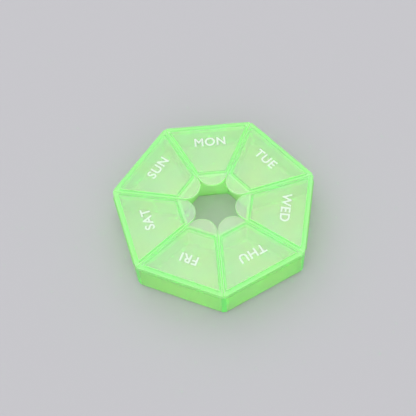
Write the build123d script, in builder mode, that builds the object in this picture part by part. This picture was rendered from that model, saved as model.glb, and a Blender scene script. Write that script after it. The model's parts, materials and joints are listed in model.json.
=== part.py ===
"""Weekly pill organizer: a seven-sided tray with a flip lid for each day, each on its own living hinge.

The origin is the centre of the hole through the tray, on the surface that the tray rests on.
+Z is up, and +Y points out through the first day's side.
"""

import os
from math import cos, radians, sin, tan

from build123d import *

# Days in order round the tray, clockwise as seen from above
DAYS = ("monday", "tuesday", "wednesday", "thursday", "friday", "saturday", "sunday")

# Tray, in millimetres
TOTAL_HEIGHT = 18.6  # rest surface to the top of the closed lids
SIDE_DISTANCE = 42.5  # centre to the outer face of each side
HOLE_DISTANCE = 14.6  # centre to each face of the hole through the middle
FLOOR = 1.2
OUTER_WALL = 1.0
INNER_WALL = 1.0  # between a compartment and the hole
PARTITION = 1.0  # between neighbouring compartments
CORNER_RADIUS = 3.8  # upright outer corners
HOLE_CORNER_RADIUS = 1.0
FOOT_RADIUS = 2.4  # lower outer edge
HOLE_EDGE_RADIUS = 0.5  # lower edge of the hole
POCKET_CORNER_RADIUS = 1.8
POCKET_FLOOR_RADIUS = 1.0
RIM_RADIUS = 0.2  # upper edges of the compartments and the hole

# Lids
LID_THICKNESS = 1.4  # of the border, and of the raised panel over its hollow
LID_GAP = 0.25  # between neighbouring lids
LID_SEAT_GAP = 0.1  # between a closed lid and the walls under it
LID_CORNER_RADIUS = 0.4  # where a lid's side meets the rounded corner of the tray
LID_EDGE_RADIUS = 0.4  # upper edge of the border
TAB_DISTANCE = 13.3  # centre to where a thumb tab's round end begins
PANEL_RISE = 0.6  # of the panel in the middle of a lid, above the lid's border
PANEL_DISTANCE = 15.7  # centre to the panel's inner edge, where the thumb tab begins
PANEL_OUTER_BORDER = 2.0  # panel to the lid's outer edge
PANEL_SIDE_BORDER = 1.05  # panel to the lid's other sides
PANEL_CORNER_RADIUS = 0.6
PANEL_EDGE_RADIUS = 0.25
SKIRT_DEPTH = 2.0  # how far the locating skirt reaches into its compartment
SKIRT_THICKNESS = 1.0
SKIRT_CLEARANCE = 0.25  # skirt to the compartment's walls
SKIRT_LEAD_IN = 0.25  # chamfer that guides the skirt in
CATCH_LENGTH = 7.0  # bead on the skirt that holds the lid shut
CATCH_CLEARANCE = 0.08  # bead to the compartment's inner wall

# Living hinges
HINGE_LEG = 0.1  # flat end of the film, between its bend and the walls it joins
HINGE_INNER_RADIUS = 0.15
HINGE_FILM = 0.25
HINGE_END_MARGIN = 1.0  # from the end of the hinge to the tray's rounded corner

# Worked out from the sizes above
SIDES = len(DAYS)
SIDE_TURN = 360 / SIDES
HALF_TURN = SIDE_TURN / 2
FIRST_TURN = 90.0
LID_TOP = TOTAL_HEIGHT - PANEL_RISE
LID_BOTTOM = LID_TOP - LID_THICKNESS
TRAY_HEIGHT = LID_BOTTOM - LID_SEAT_GAP
POCKET_INNER = HOLE_DISTANCE + INNER_WALL
POCKET_OUTER = SIDE_DISTANCE - OUTER_WALL
HINGE_DISTANCE = SIDE_DISTANCE + HINGE_LEG
HINGE_HEIGHT = LID_BOTTOM - LID_SEAT_GAP / 2


def half_width(distance, inset):
    """Half of a wedge's width, inset from the lines that run from the centre to the tray's corners."""
    return distance * tan(radians(HALF_TURN)) - inset / cos(radians(HALF_TURN))


def wedge(inner, outer, inset):
    """Corners of one side's wedge, with its x axis pointing out from the centre."""
    inner_half = half_width(inner, inset)
    outer_half = half_width(outer, inset)
    return [(inner, -inner_half), (outer, -outer_half), (outer, outer_half), (inner, inner_half)]


def outline(distance, first_turn):
    """Corners of a regular outline with its faces at a distance from the centre, one facing first_turn."""
    corner_distance = distance / cos(radians(HALF_TURN))
    turns = [radians(first_turn + HALF_TURN + number * SIDE_TURN) for number in range(SIDES)]
    return [(corner_distance * cos(turn), corner_distance * sin(turn)) for turn in turns]


def side_plane(turn, height):
    """Level plane whose x axis points from the centre out through one side."""
    outward = (cos(radians(turn)), sin(radians(turn)), 0)
    return Plane(origin=(0, 0, height), x_dir=outward, z_dir=(0, 0, 1))


def section_plane(turn, distance, height):
    """Upright plane across the middle of one side, with x outward and y up."""
    outward = (cos(radians(turn)), sin(radians(turn)), 0)
    along_side = (sin(radians(turn)), -cos(radians(turn)), 0)
    origin = (distance * outward[0], distance * outward[1], height)
    return Plane(origin=origin, x_dir=outward, z_dir=along_side)


def build_tray():
    """One moulding: floor, outer walls, partitions and the wall round the hole."""
    with BuildPart() as tray:
        with BuildSketch() as footprint:
            Polygon(outline(SIDE_DISTANCE, FIRST_TURN))
            fillet(footprint.vertices(), CORNER_RADIUS)
        extrude(amount=TRAY_HEIGHT)

        with BuildSketch() as hole:
            Polygon(outline(HOLE_DISTANCE, FIRST_TURN))
            fillet(hole.vertices(), HOLE_CORNER_RADIUS)
        extrude(amount=TRAY_HEIGHT, mode=Mode.SUBTRACT)

        with BuildSketch(Plane.XY.offset(FLOOR)) as pockets:
            with PolarLocations(0, SIDES, start_angle=FIRST_TURN):
                Polygon(wedge(POCKET_INNER, POCKET_OUTER, PARTITION / 2))
            fillet(pockets.vertices(), POCKET_CORNER_RADIUS)
        extrude(amount=TRAY_HEIGHT - FLOOR, mode=Mode.SUBTRACT)

        rim = tray.faces().sort_by(Axis.Z)[-1]
        fillet(rim.inner_wires().edges(), RIM_RADIUS)
        fillet(tray.edges().group_by(Axis.Z)[1], POCKET_FLOOR_RADIUS)
        underside = tray.faces().sort_by(Axis.Z)[0]
        fillet(underside.inner_wires().edges(), HOLE_EDGE_RADIUS)
        underside = tray.faces().sort_by(Axis.Z)[0]
        fillet(underside.outer_wire().edges(), FOOT_RADIUS)
    return tray.part


def build_lid(turn):
    """Closed lid of one side: plate with its thumb tab, raised panel, locating skirt and catch bead."""
    corner_distance = SIDE_DISTANCE / cos(radians(HALF_TURN))
    inner_half = half_width(TAB_DISTANCE, LID_GAP / 2)
    outer_half = half_width(corner_distance, LID_GAP / 2)
    tab_radius = inner_half / cos(radians(HALF_TURN))
    tab_tip = TAB_DISTANCE + tab_radius * sin(radians(HALF_TURN)) - tab_radius
    skirt_inset = PARTITION / 2 + SKIRT_CLEARANCE
    skirt_face = POCKET_INNER + SKIRT_CLEARANCE
    skirt_outer = POCKET_OUTER - SKIRT_CLEARANCE
    skirt_radius = POCKET_CORNER_RADIUS - SKIRT_CLEARANCE
    panel_outer = SIDE_DISTANCE - PANEL_OUTER_BORDER
    panel_inset = LID_GAP / 2 + PANEL_SIDE_BORDER

    with BuildPart() as lid:
        # The plate follows the tray's outline, and its tab's arc is tangent to both of its straight sides
        with BuildSketch(side_plane(turn, LID_BOTTOM)) as plate:
            Polygon(outline(SIDE_DISTANCE, 0))
            fillet(plate.vertices(), CORNER_RADIUS)
            with BuildLine():
                sides = Polyline(
                    (TAB_DISTANCE, inner_half),
                    (corner_distance, outer_half),
                    (corner_distance, -outer_half),
                    (TAB_DISTANCE, -inner_half),
                )
                ThreePointArc(sides @ 1, (tab_tip, 0), sides @ 0)
            make_face(mode=Mode.INTERSECT)
            across = plate.vertices().group_by(Axis.Y)
            fillet(across[0] + across[-1], LID_CORNER_RADIUS)
        extrude(amount=LID_THICKNESS)
        border = lid.faces().sort_by(Axis.Z)[-1]
        fillet(border.edges(), LID_EDGE_RADIUS)

        with BuildSketch(side_plane(turn, LID_TOP)) as panel:
            Polygon(wedge(PANEL_DISTANCE, panel_outer, panel_inset))
            fillet(panel.vertices(), PANEL_CORNER_RADIUS)
        extrude(amount=PANEL_RISE)
        top = lid.faces().sort_by(Axis.Z)[-1]
        fillet(top.edges(), PANEL_EDGE_RADIUS)

        # The skirt hangs under the panel's edge, and the hollow inside it reaches up into the panel
        with BuildSketch(side_plane(turn, LID_BOTTOM)) as skirt:
            Polygon(wedge(skirt_face, skirt_outer, skirt_inset))
            fillet(skirt.vertices(), skirt_radius)
        extrude(amount=-SKIRT_DEPTH)
        skirt_edge = lid.faces().sort_by(Axis.Z)[0]
        chamfer(skirt_edge.edges(), SKIRT_LEAD_IN)
        with BuildSketch(side_plane(turn, LID_BOTTOM - SKIRT_DEPTH)) as hollow:
            Polygon(wedge(skirt_face, skirt_outer, skirt_inset))
            fillet(hollow.vertices(), skirt_radius)
            offset(amount=-SKIRT_THICKNESS, mode=Mode.REPLACE)
        extrude(amount=SKIRT_DEPTH + PANEL_RISE, mode=Mode.SUBTRACT)

        with BuildSketch(section_plane(turn, skirt_face, LID_BOTTOM - SKIRT_DEPTH / 2)):
            Circle(SKIRT_CLEARANCE - CATCH_CLEARANCE)
        extrude(amount=CATCH_LENGTH / 2, both=True)
    return lid.part


def build_hinge(turn):
    """Film folded round the lid's axis, from the outer face of the tray to the outer edge of the lid."""
    inner = HINGE_INNER_RADIUS
    outer = HINGE_INNER_RADIUS + HINGE_FILM
    straight_half = (SIDE_DISTANCE - CORNER_RADIUS) * tan(radians(HALF_TURN))

    with BuildPart() as hinge:
        with BuildSketch(section_plane(turn, HINGE_DISTANCE, HINGE_HEIGHT)):
            with BuildLine():
                outer_bend = ThreePointArc((0, -outer), (outer, 0), (0, outer))
                inner_bend = ThreePointArc((0, inner), (inner, 0), (0, -inner))
                Polyline(outer_bend @ 1, (-HINGE_LEG, outer), (-HINGE_LEG, inner), inner_bend @ 0)
                Polyline(inner_bend @ 1, (-HINGE_LEG, -inner), (-HINGE_LEG, -outer), outer_bend @ 0)
            make_face()
        extrude(amount=straight_half - HINGE_END_MARGIN, both=True)
    return hinge.part


def export(piece, name):
    piece.label = name
    export_step(piece, f"parts/{name}.step")


os.makedirs("parts", exist_ok=True)
export(build_tray(), "base_tray")
for number, day in enumerate(DAYS):
    turn = FIRST_TURN - number * SIDE_TURN
    export(build_lid(turn), f"lid_{day}")
    export(build_hinge(turn), f"hinge_{day}")
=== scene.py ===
"""Looks of a weekly pill organizer: translucent green plastic, living hinges and printed day names."""

import json
from collections import namedtuple
from math import atan2, cos, pi, radians, sin

import bmesh
import bpy
from mathutils import Matrix, Vector


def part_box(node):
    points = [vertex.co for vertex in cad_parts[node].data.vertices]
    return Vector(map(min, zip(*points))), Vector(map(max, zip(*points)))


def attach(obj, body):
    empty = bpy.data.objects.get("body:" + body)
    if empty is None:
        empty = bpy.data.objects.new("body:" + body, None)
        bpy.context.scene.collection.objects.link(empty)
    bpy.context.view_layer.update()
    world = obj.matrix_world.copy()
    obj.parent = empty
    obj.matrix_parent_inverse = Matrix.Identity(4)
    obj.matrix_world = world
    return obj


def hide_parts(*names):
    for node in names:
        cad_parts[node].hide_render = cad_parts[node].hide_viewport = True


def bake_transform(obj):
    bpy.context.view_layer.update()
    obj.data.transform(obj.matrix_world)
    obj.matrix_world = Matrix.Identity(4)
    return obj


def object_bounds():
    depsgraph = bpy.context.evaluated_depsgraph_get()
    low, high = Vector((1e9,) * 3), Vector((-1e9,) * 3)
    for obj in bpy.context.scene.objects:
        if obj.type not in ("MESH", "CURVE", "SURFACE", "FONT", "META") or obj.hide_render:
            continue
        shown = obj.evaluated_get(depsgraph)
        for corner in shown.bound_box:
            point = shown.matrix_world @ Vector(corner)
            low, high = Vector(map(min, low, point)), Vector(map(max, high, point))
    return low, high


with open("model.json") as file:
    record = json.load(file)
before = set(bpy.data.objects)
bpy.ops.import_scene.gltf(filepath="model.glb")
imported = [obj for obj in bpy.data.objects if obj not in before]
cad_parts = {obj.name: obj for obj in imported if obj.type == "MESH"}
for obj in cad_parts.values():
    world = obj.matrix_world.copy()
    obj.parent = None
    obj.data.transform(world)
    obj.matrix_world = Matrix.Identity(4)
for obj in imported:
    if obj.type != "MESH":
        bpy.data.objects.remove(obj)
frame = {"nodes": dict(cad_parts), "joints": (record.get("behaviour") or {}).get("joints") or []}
CAD_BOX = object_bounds()
MM = 0.001

# Camera, fitted to the photograph: angles in degrees, lengths in millimetres
CAMERA_AZIMUTH = -0.97
CAMERA_ELEVATION = 59.66
CAMERA_ROLL = -3.98
CAMERA_DISTANCE = 438.4
CAMERA_LENS = 82.9
CAMERA_SENSOR = 36.0
CAMERA_AIM_HEIGHT = 8.5
CAMERA_SLIDE_RIGHT = -3.43
CAMERA_SLIDE_UP = 2.2
CAMERA_CLIP = 10.0

# Studio light: a wide soft key from behind, a wide fill from the front, and an even sky
KEY_DIRECTION = (-0.12, 0.35, 0.85)  # from the box to the lamp
KEY_STRENGTH = 0.85
FILL_DIRECTION = (-0.1, -0.65, 0.7)
FILL_STRENGTH = 0.75
LAMP_WIDTH = 80.0  # in degrees, as seen from the box
SKY_COLOUR = (1.0, 1.0, 1.0)
SKY_STRENGTH = 0.65
LIGHT_BOUNCES = 64
LIGHT_CLAMP = 40.0

# Floor, with lengths in millimetres
FLOOR_COLOUR = (0.53, 0.525, 0.555)
FLOOR_ROUGHNESS = 0.9
FLOOR_SIZE = 60000.0
FLOOR_DROP = 0.05  # below the box's underside

# Finishes of the plastic: the tint of a surface, and the share of the light that it scatters; the hole's tint
# holds painted light, and the film's tints painted shade
Finish = namedtuple("Finish", "tint haze")
LID_BORDER = Finish((0.99, 1.0, 0.96), 0.24)
LID_PANEL = Finish((0.97, 0.87, 0.91), 0.24)
LID_UNDER = Finish((0.97, 0.98, 0.92), 0.0)
LID_OUTER_BORDER = Finish((0.58, 1.0, 0.5), 0.5)
LID_EDGE = Finish((0.66, 1.0, 0.57), 0.97)
LID_OUTER_EDGE = Finish((0.45, 0.98, 0.36), 0.85)
PANEL_STEP = Finish((0.58, 1.0, 0.47), 0.96)
SKIRT = Finish((0.4, 1.0, 0.28), 0.85)
POCKET = Finish((0.88, 1.0, 0.7), 0.35)
WALL = Finish((0.9, 0.95, 0.64), 0.35)
BASE = Finish((0.9, 1.0, 0.74), 0.9)
FOOT = Finish((0.8, 1.0, 0.62), 0.5)
RIM = Finish((0.6, 1.0, 0.5), 0.8)
CORNER = Finish((0.28, 1.0, 0.24), 0.95)
# Hole-side faces: a paler tint, painted light standing for the light that falls into the hole from above
HOLE_PAINTED_LIGHT = Finish((1.0, 1.0, 0.88), 0.45)
# Hinge film: tints darkened as painted shade against the extra light on its upper side; the crease tint is
# also paler where the film has been flexed
FILM_WITH_PAINTED_SHADE = Finish((0.42, 0.86, 0.32), 0.8)
FILM_CREASE_AND_SHADE = Finish((0.46, 0.9, 0.36), 0.8)

# Share of each piece's surface that glows with the light behind it
LID_SPREAD = 0.0
TRAY_SPREAD = 0.2
FILM_SPREAD = 0.2

# Body and texture of the plastic, with lengths in millimetres and ranges of the noise from 0 to 1
DYE_COLOUR = (0.35, 1.0, 0.05)
DYE_DENSITY = 130.0  # per metre
PLASTIC_INDEX = 1.49
PLASTIC_ROUGHNESS = 0.18
ROUGHNESS_SWING = 0.04
NOISE_DETAIL = 2.0
GRAIN_SIZE = 0.35
GRAIN_DEPTH = 0.001
CLOUD_SIZE = 14.0
CLOUD_RANGE = (0.3, 0.7)
CLOUD_WARM = (1.0, 1.0, 0.94)
CLOUD_COOL = (0.95, 1.0, 1.0)
CREASE_SIZE = 1.5
CREASE_RANGE = (0.45, 0.7)

# Where the finishes change: heights in millimetres
POCKET_FLOOR_TOP = 2.4
FOOT_FULL = 2.0
FOOT_TOP = 3.4
RIM_START = 0.6  # below the top of the tray
RIM_FULL = 0.3
PANEL_RISE = 0.6
STEP_START = 0.05  # above the border that the panel rises from

# Where the finishes change: distances from the centre in millimetres, between the faces told apart
HOLE_FACE = 15.1
INNER_WALL_FACE = 16.2
OUTER_FACE = 41.9
OUTER_BORDER = 40.7

# Where the finishes change: turns from the nearest side in degrees, and the upward part of a face's direction
CORNER_START = 5.0
CORNER_FULL = 11.0
UNDER_FACING = -0.9
EDGE_FACING = (0.75, 0.97)
UPRIGHT_FACING = (0.5, 0.9)

# Print, with lengths in millimetres
DAY_LETTERS = 3
PRINT_CAP_HEIGHT = 4.35
PRINT_CAP_SHARE = 0.72  # of the font's size
PRINT_BOLDNESS = 0.125  # by which the letters' outlines grow
PRINT_EXTRUSION = PRINT_BOLDNESS  # each way, before the letters are flattened
PRINT_ROUNDING = 2
PRINT_DISTANCE = 31.5
PRINT_SHIFT = (0.3, 0.8)  # right and back, alike for every word
PRINT_SPACING = 1.1
PRINT_LIFT = 0.004
PRINT_THICKNESS = 0.024
INK_COLOUR = (0.8, 0.88, 0.81)
INK_THIN = (0.72, 0.83, 0.73)
INK_ROUGHNESS = 0.5
INK_ROUGHNESS_SWING = 0.1
INK_GRAIN = 0.6
INK_DETAIL = 3.0

# Hinge film: lengths in millimetres, and an angle in degrees
HINGE_FILM = 0.25
HINGE_CLEARANCE = 0.01
HINGE_BEND_STEPS = 16
HINGE_END_ROUNDING = 0.06
HINGE_END_STEPS = 2
SMOOTH_ANGLE = 40.0


def day_of(joint):
    return joint["child"].removeprefix("lid_")


def turn_of(joint):
    """Direction from the centre out through a lid's side."""
    return atan2(joint["pos_m"][1], joint["pos_m"][0])


HALF_TURN = pi / len(frame["joints"])
FIRST_TURN = turn_of(frame["joints"][0])


class Tree:
    """Nodes of one material, with a short call for each kind that is used here."""

    def __init__(self, name):
        self.material = bpy.data.materials.new(name)
        self.material.use_nodes = True
        self.nodes = self.material.node_tree.nodes
        self.links = self.material.node_tree.links
        self.shader = self.nodes["Principled BSDF"]
        self.output = self.nodes["Material Output"]
        texture = self.nodes.new("ShaderNodeTexCoord")
        self.place = texture.outputs["Object"]
        self.normal = texture.outputs["Normal"]

    def put(self, socket, value):
        """Sets a socket to a plain value or colour, or links it to another node."""
        if isinstance(value, bpy.types.NodeSocket):
            self.links.new(value, socket)
        elif isinstance(value, tuple):
            socket.default_value = (*value, 1)
        else:
            socket.default_value = value

    def math(self, operation, *values):
        node = self.nodes.new("ShaderNodeMath")
        node.operation = operation
        for socket, value in zip(node.inputs, values):
            self.put(socket, value)
        return node.outputs["Value"]

    def rest(self, share):
        """What a share leaves of the whole."""
        return self.math("SUBTRACT", 1.0, share)

    def split(self, vector):
        node = self.nodes.new("ShaderNodeSeparateXYZ")
        self.put(node.inputs["Vector"], vector)
        return node.outputs["X"], node.outputs["Y"], node.outputs["Z"]

    def fold(self, vector):
        """A level vector's turn from the nearest side's outward direction, and its length that way."""
        east, north, _ = self.split(vector)
        turn = self.math("SUBTRACT", self.math("ARCTAN2", north, east), FIRST_TURN)
        turn = self.math("WRAP", turn, HALF_TURN, -HALF_TURN)
        squares = self.math("ADD", self.math("MULTIPLY", east, east), self.math("MULTIPLY", north, north))
        ahead = self.math("MULTIPLY", self.math("SQRT", squares), self.math("COSINE", turn))
        return self.math("ABSOLUTE", turn), ahead

    def rise(self, value, start, end):
        """Goes smoothly from 0 to 1 between start and end."""
        node = self.nodes.new("ShaderNodeMapRange")
        node.interpolation_type = "SMOOTHSTEP"
        self.put(node.inputs["Value"], value)
        node.inputs["From Min"].default_value = start
        node.inputs["From Max"].default_value = end
        return node.outputs["Result"]

    def noise(self, size, detail=NOISE_DETAIL):
        node = self.nodes.new("ShaderNodeTexNoise")
        self.put(node.inputs["Vector"], self.place)
        node.inputs["Scale"].default_value = 1 / (size * MM)
        node.inputs["Detail"].default_value = detail
        return node.outputs["Fac"]

    def mix(self, kind, blend, *values):
        """Mixes numbers or colours, through the sockets that the node has switched on for that kind."""
        node = self.nodes.new("ShaderNodeMix")
        node.data_type = kind
        node.blend_type = blend
        sockets = [socket for socket in node.inputs if socket.enabled]
        for socket, value in zip(sockets, values):
            self.put(socket, value)
        return next(socket for socket in node.outputs if socket.enabled)

    def between(self, share, first, second):
        """Number between two numbers."""
        return self.mix("FLOAT", "MIX", share, first, second)

    def about(self, share, middle, swing):
        """Number within a swing of its middle."""
        return self.between(share, middle - swing, middle + swing)

    def colour_between(self, share, first, second):
        return self.mix("RGBA", "MIX", share, first, second)

    def tinted(self, colour, tint):
        """Colour seen through a tint."""
        return self.mix("RGBA", "MULTIPLY", 1.0, colour, tint)

    def bump(self, height, depth):
        node = self.nodes.new("ShaderNodeBump")
        node.inputs["Distance"].default_value = depth * MM
        self.put(node.inputs["Height"], height)
        return node.outputs["Normal"]


def plastic(tree, spread, ground, *zones):
    """Translucent plastic: a ground finish, and the finishes of zones, each with the share that it covers."""
    tint, haze = ground
    for share, finish in zones:
        tint = tree.colour_between(share, tint, finish.tint)
        haze = tree.between(share, haze, finish.haze)
    cloud = tree.rise(tree.noise(CLOUD_SIZE), *CLOUD_RANGE)
    tint = tree.tinted(tint, tree.colour_between(cloud, CLOUD_WARM, CLOUD_COOL))
    grain = tree.noise(GRAIN_SIZE)
    normal = tree.bump(grain, GRAIN_DEPTH)

    tree.put(tree.shader.inputs["Base Color"], tint)
    tree.put(tree.shader.inputs["Normal"], normal)
    tree.put(tree.shader.inputs["Roughness"], tree.about(grain, PLASTIC_ROUGHNESS, ROUGHNESS_SWING))
    tree.put(tree.shader.inputs["Transmission Weight"], tree.rest(haze))
    tree.shader.inputs["IOR"].default_value = PLASTIC_INDEX
    glow = tree.nodes.new("ShaderNodeBsdfTranslucent")
    tree.put(glow.inputs["Color"], tint)
    tree.put(glow.inputs["Normal"], normal)
    mix = tree.nodes.new("ShaderNodeMixShader")
    glow_share, body_socket, glow_socket = mix.inputs
    glow_share.default_value = spread
    tree.links.new(tree.shader.outputs["BSDF"], body_socket)
    tree.links.new(glow.outputs["BSDF"], glow_socket)
    dye = tree.nodes.new("ShaderNodeVolumeAbsorption")
    tree.put(dye.inputs["Color"], DYE_COLOUR)
    dye.inputs["Density"].default_value = DYE_DENSITY
    tree.links.new(mix.outputs["Shader"], tree.output.inputs["Surface"])
    tree.links.new(dye.outputs["Volume"], tree.output.inputs["Volume"])
    return tree.material


def lid_plastic():
    """Lids: clearer below than on top, greener and hazier at the edges, in the skirt and round the panel."""
    tree = Tree("lid_plastic")
    _, _, facing = tree.split(tree.normal)
    _, _, height = tree.split(tree.place)
    _, ahead = tree.fold(tree.place)
    under = tree.math("LESS_THAN", facing, UNDER_FACING)
    edge = tree.rest(tree.rise(tree.math("ABSOLUTE", facing), *EDGE_FACING))
    outer_border = tree.math("GREATER_THAN", ahead, OUTER_BORDER * MM)
    outer_edge = tree.math("MULTIPLY", edge, tree.math("GREATER_THAN", ahead, OUTER_FACE * MM))
    panel = tree.math("GREATER_THAN", height, CAD_BOX[1].z - (PANEL_RISE - STEP_START) * MM)
    step = tree.math("MULTIPLY", edge, panel)
    skirt = tree.math("LESS_THAN", height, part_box("base_tray")[1].z)
    zones = [(panel, LID_PANEL), (outer_border, LID_OUTER_BORDER), (under, LID_UNDER)]
    zones += [(edge, LID_EDGE), (outer_edge, LID_OUTER_EDGE), (step, PANEL_STEP), (skirt, SKIRT)]
    return plastic(tree, LID_SPREAD, LID_BORDER, *zones)


def tray_plastic():
    """Tray: greener at its upright corners and rims, hazier in its floor and foot, and paler round the hole,
    which is painted light there.
    """
    tree = Tree("tray_plastic")
    _, _, facing = tree.split(tree.normal)
    _, _, height = tree.split(tree.place)
    _, ahead = tree.fold(tree.place)
    turned, _ = tree.fold(tree.normal)
    upright = tree.rest(tree.rise(tree.math("ABSOLUTE", facing), *UPRIGHT_FACING))
    outside = tree.math("GREATER_THAN", ahead, OUTER_FACE * MM)
    corner = tree.rise(turned, radians(CORNER_START), radians(CORNER_FULL))
    corner = tree.math("MULTIPLY", corner, tree.math("MULTIPLY", upright, outside))
    base = tree.math("LESS_THAN", height, POCKET_FLOOR_TOP * MM)
    foot = tree.rest(tree.rise(height, FOOT_FULL * MM, FOOT_TOP * MM))
    foot = tree.math("MULTIPLY", foot, outside)
    hole = tree.math("LESS_THAN", ahead, HOLE_FACE * MM)
    inner_wall = tree.math("LESS_THAN", ahead, INNER_WALL_FACE * MM)
    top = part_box("base_tray")[1].z
    rim = tree.rise(height, top - RIM_START * MM, top - RIM_FULL * MM)
    # The hole-side faces take a paler tint as painted light
    zones = [(base, BASE), (outside, WALL), (foot, FOOT), (inner_wall, BASE), (hole, HOLE_PAINTED_LIGHT)]
    zones += [(corner, CORNER), (rim, RIM)]
    return plastic(tree, TRAY_SPREAD, POCKET, *zones)


def film_plastic():
    """Hinge film: darkened all over as painted shade against the light on its upper side, and a little paler
    in patches, where it has been flexed.
    """
    tree = Tree("film_plastic")
    crease = tree.rise(tree.noise(CREASE_SIZE), *CREASE_RANGE)
    # The film's tints hold painted shade
    return plastic(tree, FILM_SPREAD, FILM_WITH_PAINTED_SHADE, (crease, FILM_CREASE_AND_SHADE))


def printed_ink():
    """Whitish print that thins out in specks."""
    tree = Tree("printed_ink")
    speck = tree.noise(INK_GRAIN, INK_DETAIL)
    tree.put(tree.shader.inputs["Base Color"], tree.colour_between(speck, INK_THIN, INK_COLOUR))
    tree.put(tree.shader.inputs["Roughness"], tree.about(speck, INK_ROUGHNESS, INK_ROUGHNESS_SWING))
    tree.put(tree.shader.inputs["Normal"], tree.bump(speck, GRAIN_DEPTH))
    return tree.material


def floor_surface():
    tree = Tree("floor_surface")
    tree.put(tree.shader.inputs["Base Color"], FLOOR_COLOUR)
    tree.shader.inputs["Roughness"].default_value = FLOOR_ROUGHNESS
    return tree.material


def add_object(name, mesh, material):
    mesh.materials.clear()
    mesh.materials.append(material)
    made = bpy.data.objects.new(name, mesh)
    bpy.context.scene.collection.objects.link(made)
    return made


def add_floor():
    height = CAD_BOX[0].z - FLOOR_DROP * MM
    bpy.ops.mesh.primitive_plane_add(size=FLOOR_SIZE * MM, location=(0, 0, height))
    floor = bpy.context.object
    floor.name = "floor"
    floor.data.materials.append(floor_surface())


def word_mesh(name, word):
    """Solid letters of a word, lying flat round the origin."""
    text = bpy.data.curves.new(name, "FONT")
    text.body = word
    text.align_x = "CENTER"
    text.align_y = "CENTER"
    text.size = PRINT_CAP_HEIGHT / PRINT_CAP_SHARE * MM
    text.space_character = PRINT_SPACING
    text.extrude = PRINT_EXTRUSION * MM
    text.bevel_depth = PRINT_BOLDNESS * MM
    text.bevel_resolution = PRINT_ROUNDING
    source = bpy.data.objects.new(name, text)
    bpy.context.scene.collection.objects.link(source)
    bpy.context.view_layer.update()
    evaluated = source.evaluated_get(bpy.context.evaluated_depsgraph_get())
    mesh = bpy.data.meshes.new_from_object(evaluated)
    bpy.data.objects.remove(source)
    return mesh


def add_label(joint, ink):
    """Printed day name on a lid, read from the centre of the box."""
    name = "label_" + day_of(joint)
    mesh = word_mesh(name, day_of(joint)[:DAY_LETTERS].upper())
    letter_thickness = 2 * (PRINT_EXTRUSION + PRINT_BOLDNESS)
    flatten = Matrix.Diagonal((1, 1, PRINT_THICKNESS / letter_thickness, 1))
    outward = Matrix.Translation((0, PRINT_DISTANCE * MM, 0))
    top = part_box(joint["child"])[1].z
    height = top + (PRINT_LIFT + PRINT_THICKNESS / 2) * MM
    lift = Matrix.Translation((PRINT_SHIFT[0] * MM, PRINT_SHIFT[1] * MM, height))
    mesh.transform(lift @ Matrix.Rotation(turn_of(joint) - pi / 2, 4, "Z") @ outward @ flatten)
    label = add_object(name, mesh, ink)
    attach(label, joint["child"])


def bend_points(radius, first, last):
    """Points on the hinge's bend, from one direction to another, out from the hinge's axis and up."""
    turns = [first + (last - first) * step / HINGE_BEND_STEPS for step in range(HINGE_BEND_STEPS + 1)]
    return [(radius * cos(turn), radius * sin(turn)) for turn in turns]


def strip_mesh(name, rows):
    """Closed strip between two rows of points, with its ends rounded."""
    shape = bmesh.new()
    start, end = [[shape.verts.new(point) for point in row] for row in rows]
    ends = [shape.faces.new(row) for row in (start, end)]
    for index in range(len(start)):
        last = index - 1
        shape.faces.new((start[last], end[last], end[index], start[index]))
    end_edges = [edge for face in ends for edge in face.edges]
    rounding = HINGE_END_ROUNDING * MM
    bmesh.ops.bevel(shape, geom=end_edges, offset=rounding, segments=HINGE_END_STEPS, affect="EDGES")
    bmesh.ops.recalc_face_normals(shape, faces=shape.faces)
    for face in shape.faces:
        face.smooth = True
    mesh = bpy.data.meshes.new(name)
    shape.to_mesh(mesh)
    shape.free()
    mesh.set_sharp_from_angle(angle=radians(SMOOTH_ANGLE))
    return mesh


def add_hinge(joint, film):
    """Film folded round a lid's axis, in one fixed shape between the tray and the lid."""
    node = "hinge_" + day_of(joint)
    name = "film_" + day_of(joint)
    axis = Vector(joint["pos_m"])
    turn = turn_of(joint)
    outward = Vector((cos(turn), sin(turn), 0))
    along = Vector((-sin(turn), cos(turn), 0))
    corners = [vertex.co for vertex in frame["nodes"][node].data.vertices]
    half_length = max(corner.dot(along) for corner in corners)
    outer = max(corner.z for corner in corners) - axis.z
    inner = outer - HINGE_FILM * MM
    leg = axis.dot(outward) - min(corner.dot(outward) for corner in corners) - HINGE_CLEARANCE * MM
    section = bend_points(outer, -pi / 2, pi / 2) + [(-leg, outer), (-leg, inner)]
    section += bend_points(inner, pi / 2, -pi / 2) + [(-leg, -inner), (-leg, -outer)]
    rows = []
    for reach in (-half_length, half_length):
        rows.append([axis + out * outward + reach * along + Vector((0, 0, up)) for out, up in section])

    strip = add_object(name, strip_mesh(name, rows), film)
    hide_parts(node)
    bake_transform(strip)


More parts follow.
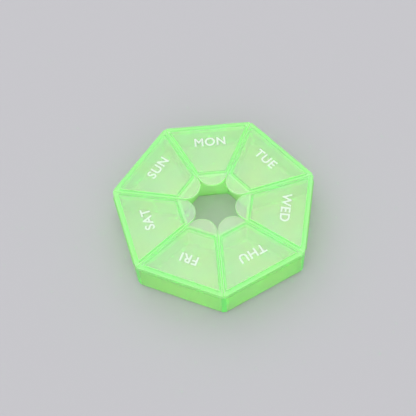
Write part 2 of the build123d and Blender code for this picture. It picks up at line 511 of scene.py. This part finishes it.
def add_camera():
    azimuth = radians(CAMERA_AZIMUTH)
    elevation = radians(CAMERA_ELEVATION)
    roll = radians(CAMERA_ROLL)
    back = Vector((sin(azimuth) * cos(elevation), -cos(azimuth) * cos(elevation), sin(elevation)))
    level = Vector((cos(azimuth), sin(azimuth), 0))
    upright = back.cross(level)
    right = cos(roll) * level + sin(roll) * upright
    up = cos(roll) * upright - sin(roll) * level
    place = Vector((0, 0, CAMERA_AIM_HEIGHT)) + CAMERA_DISTANCE * back
    place += CAMERA_SLIDE_RIGHT * right + CAMERA_SLIDE_UP * up
    data = bpy.data.cameras.new("camera")
    data.lens = CAMERA_LENS
    data.sensor_width = CAMERA_SENSOR
    data.clip_start = CAMERA_CLIP * MM
    camera = bpy.data.objects.new("camera", data)
    bpy.context.scene.collection.objects.link(camera)
    turn = Matrix((right, up, back)).transposed().to_4x4()
    camera.matrix_world = Matrix.Translation(place * MM) @ turn
    bpy.context.scene.camera = camera


def add_lamp(name, direction, strength):
    data = bpy.data.lights.new(name, "SUN")
    data.angle = radians(LAMP_WIDTH)
    data.energy = strength
    lamp = bpy.data.objects.new(name, data)
    bpy.context.scene.collection.objects.link(lamp)
    lamp.rotation_mode = "QUATERNION"
    lamp.rotation_quaternion = Vector(direction).to_track_quat("Z", "Y")


def add_sky():
    world = bpy.data.worlds.new("studio")
    world.use_nodes = True
    sky = world.node_tree.nodes["Background"]
    sky.inputs["Color"].default_value = (*SKY_COLOUR, 1)
    sky.inputs["Strength"].default_value = SKY_STRENGTH
    bpy.context.scene.world = world


def set_light_paths():
    """Lets light cross the many walls of clear plastic before its path is cut short."""
    cycles = bpy.context.scene.cycles
    cycles.blur_glossy = 0.0
    cycles.sample_clamp_indirect = LIGHT_CLAMP
    cycles.max_bounces = LIGHT_BOUNCES
    cycles.diffuse_bounces = LIGHT_BOUNCES
    cycles.glossy_bounces = LIGHT_BOUNCES
    cycles.transmission_bounces = LIGHT_BOUNCES


bpy.context.scene.view_settings.view_transform = "Standard"
set_light_paths()

lid = lid_plastic()
tray = tray_plastic()
film = film_plastic()
ink = printed_ink()
for name, node in frame["nodes"].items():
    node.data.materials.clear()
    node.data.materials.append(lid if name.startswith("lid_") else tray)
for joint in frame["joints"]:
    add_hinge(joint, film)
    add_label(joint, ink)
add_floor()
add_lamp("key", KEY_DIRECTION, KEY_STRENGTH)
add_lamp("fill", FILL_DIRECTION, FILL_STRENGTH)
add_sky()
add_camera()
